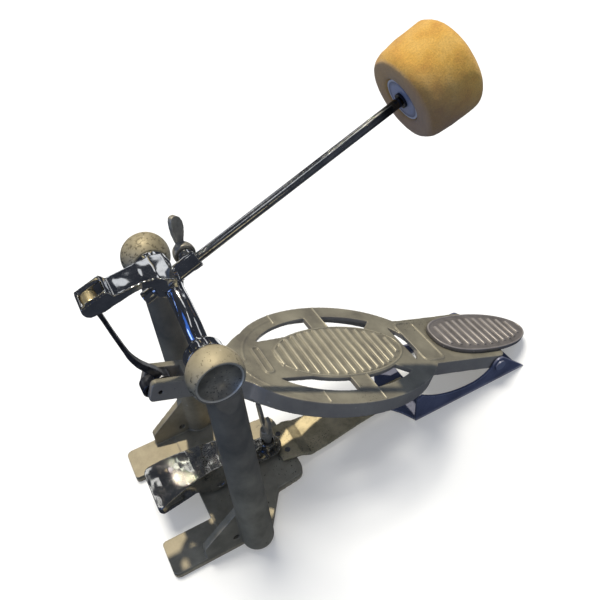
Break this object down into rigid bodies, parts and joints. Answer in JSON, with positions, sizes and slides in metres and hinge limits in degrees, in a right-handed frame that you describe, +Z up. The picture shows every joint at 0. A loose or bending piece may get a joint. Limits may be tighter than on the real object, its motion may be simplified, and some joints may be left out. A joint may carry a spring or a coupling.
{
  "type": "bass drum pedal",
  "caption": "Bass drum pedal: a ribbed oval footboard drives, through a rigid link, a chromed rocker that swings a felt beater between two sprung posts.",
  "frame": {"origin": "on the floor under the middle of the rocker axis, on the base's underside", "axes": "+X towards the player's heel, +Y to the player's right, +Z up"},
  "size_m": [0.3386, 0.1318, 0.2896],
  "materials": {
    "cast_aluminium": "as-cast, rough",
    "board_aluminium": "cast, worn satin",
    "plate_aluminium": "cast, worn satin",
    "chrome": "polished",
    "steel": "bright drawn",
    "spring_steel": "oiled",
    "painted_sheet": "satin",
    "strap_sheet": "satin",
    "wing_steel": "dull plated",
    "felt": "pressed felt",
    "washer_steel": "plated"
  },
  "bodies": {
    "frame": {"frame_casting": "cast_aluminium", "left_head_cap": "cast_aluminium", "right_head_cap": "cast_aluminium", "left_bearing_outer_race": "steel", "right_bearing_outer_race": "steel", "left_spring": "spring_steel", "right_spring": "spring_steel", "heel_bracket": "painted_sheet", "connecting_strap": "strap_sheet", "strap_rivets": "steel", "strap_screws": "steel", "hinge_pin": "steel", "clamp_pivot_pin": "steel"},
    "rocker": {"rocker_casting": "chrome", "left_rocker_axle": "steel", "right_rocker_axle": "steel", "left_bearing_inner_race": "steel", "right_bearing_inner_race": "steel", "crank_pin": "steel"},
    "link": {"link_strap": "steel"},
    "board": {"footboard": "board_aluminium", "heel_plate": "plate_aluminium", "heel_plate_screws": "steel", "toe_pin": "steel"},
    "clamp": {"hoop_clamp": "chrome", "clamp_collar": "chrome"},
    "clamp_screw": {"clamp_wing_screw": "wing_steel"},
    "beater": {"beater_rod": "chrome", "beater_felt": "felt", "beater_washer_lower": "washer_steel", "beater_washer_upper": "washer_steel", "beater_nut": "washer_steel"},
    "beater_screw": {"beater_wing_screw": "wing_steel"},
    "left_balls": {"left_bearing_balls": "steel"},
    "left_thrust": {"left_thrust_rod": "steel"},
    "left_plunger": {"left_spring_plunger": "steel"},
    "left_adjuster": {"left_spring_adjuster": "steel"},
    "right_balls": {"right_bearing_balls": "steel"},
    "right_thrust": {"right_thrust_rod": "steel"},
    "right_plunger": {"right_spring_plunger": "steel"},
    "right_adjuster": {"right_spring_adjuster": "steel"}
  },
  "joints": [
    {"name": "rocker_swing", "type": "hinge", "parent": "frame", "child": "rocker", "pos_m": [0, 0, 0.1715], "axis": [0, -1, 0], "range_deg": [0, 62], "stiffness_Nm_per_rad": 0.8, "springref_deg": -22.92},
    {"name": "footboard_swing", "type": "hinge", "parent": "frame", "child": "board", "pos_m": [0.2314, 0, 0.01875], "axis": [0, -1, 0], "range_deg": [0, 11.4]},
    {"name": "link_swing", "type": "hinge", "parent": "rocker", "child": "link", "pos_m": [-0.041, 0, 0.1975], "axis": [0, -1, 0], "range_deg": [-70.5, 0]},
    {"name": "left_ball_roll", "type": "hinge", "parent": "frame", "child": "left_balls", "pos_m": [0, -0.0494, 0.1715], "axis": [0, -1, 0], "range_deg": [0, 22.8]},
    {"name": "left_thrust_swing", "type": "hinge", "parent": "rocker", "child": "left_thrust", "pos_m": [-0.00429, -0.0565, 0.17408], "axis": [0, -1, 0], "range_deg": [-62.5, 0]},
    {"name": "left_plunger_slide", "type": "slide", "parent": "frame", "child": "left_plunger", "axis": [0, 0, -1], "range_m": [0, 0.0053], "deforming": ["left_spring"]},
    {"name": "left_adjuster_turn", "type": "hinge", "parent": "frame", "child": "left_adjuster", "pos_m": [0.0015, -0.0557, 0.008], "axis": [0, 0, 1], "continuous": true},
    {"name": "right_ball_roll", "type": "hinge", "parent": "frame", "child": "right_balls", "pos_m": [0, 0.0494, 0.1715], "axis": [0, -1, 0], "range_deg": [0, 22.8]},
    {"name": "right_thrust_swing", "type": "hinge", "parent": "rocker", "child": "right_thrust", "pos_m": [-0.00429, 0.0565, 0.17408], "axis": [0, -1, 0], "range_deg": [-62.5, 0]},
    {"name": "right_plunger_slide", "type": "slide", "parent": "frame", "child": "right_plunger", "axis": [0, 0, -1], "range_m": [0, 0.0053], "deforming": ["right_spring"]},
    {"name": "right_adjuster_turn", "type": "hinge", "parent": "frame", "child": "right_adjuster", "pos_m": [0.0015, 0.0557, 0.008], "axis": [0, 0, 1], "continuous": true},
    {"name": "clamp_screw_turn", "type": "hinge", "parent": "frame", "child": "clamp_screw", "pos_m": [0.0395, 0, 0.02], "axis": [0, 0, -1], "range_deg": [0, 1310]},
    {"name": "clamp_tilt", "type": "hinge", "parent": "frame", "child": "clamp", "pos_m": [-0.004, 0, 0.0132], "axis": [0, -1, 0], "range_deg": [0, 6.1]},
    {"name": "beater_slide", "type": "slide", "parent": "rocker", "child": "beater", "axis": [0.9245, 0, 0.3811], "range_m": [-0.018, 0.012]},
    {"name": "beater_screw_turn", "type": "hinge", "parent": "rocker", "child": "beater_screw", "pos_m": [0.01349, 0.012, 0.1984], "axis": [0, -1, 0], "range_deg": [-180, 45]}
  ],
  "couplings": [
    {"joint": "footboard_swing", "follows": "rocker_swing", "ratio": 0.18142},
    {"joint": "link_swing", "follows": "rocker_swing", "ratio": -1.1296},
    {"joint": "left_ball_roll", "follows": "rocker_swing", "ratio": 0.364},
    {"joint": "left_thrust_swing", "follows": "rocker_swing", "ratio": -1},
    {"joint": "left_plunger_slide", "follows": "rocker_swing", "m_per_rad": 0.0047596},
    {"joint": "right_ball_roll", "follows": "rocker_swing", "ratio": 0.364},
    {"joint": "right_thrust_swing", "follows": "rocker_swing", "ratio": -1},
    {"joint": "right_plunger_slide", "follows": "rocker_swing", "m_per_rad": 0.0047596},
    {"joint": "clamp_tilt", "follows": "clamp_screw_turn", "ratio": 0.0045802}
  ]
}
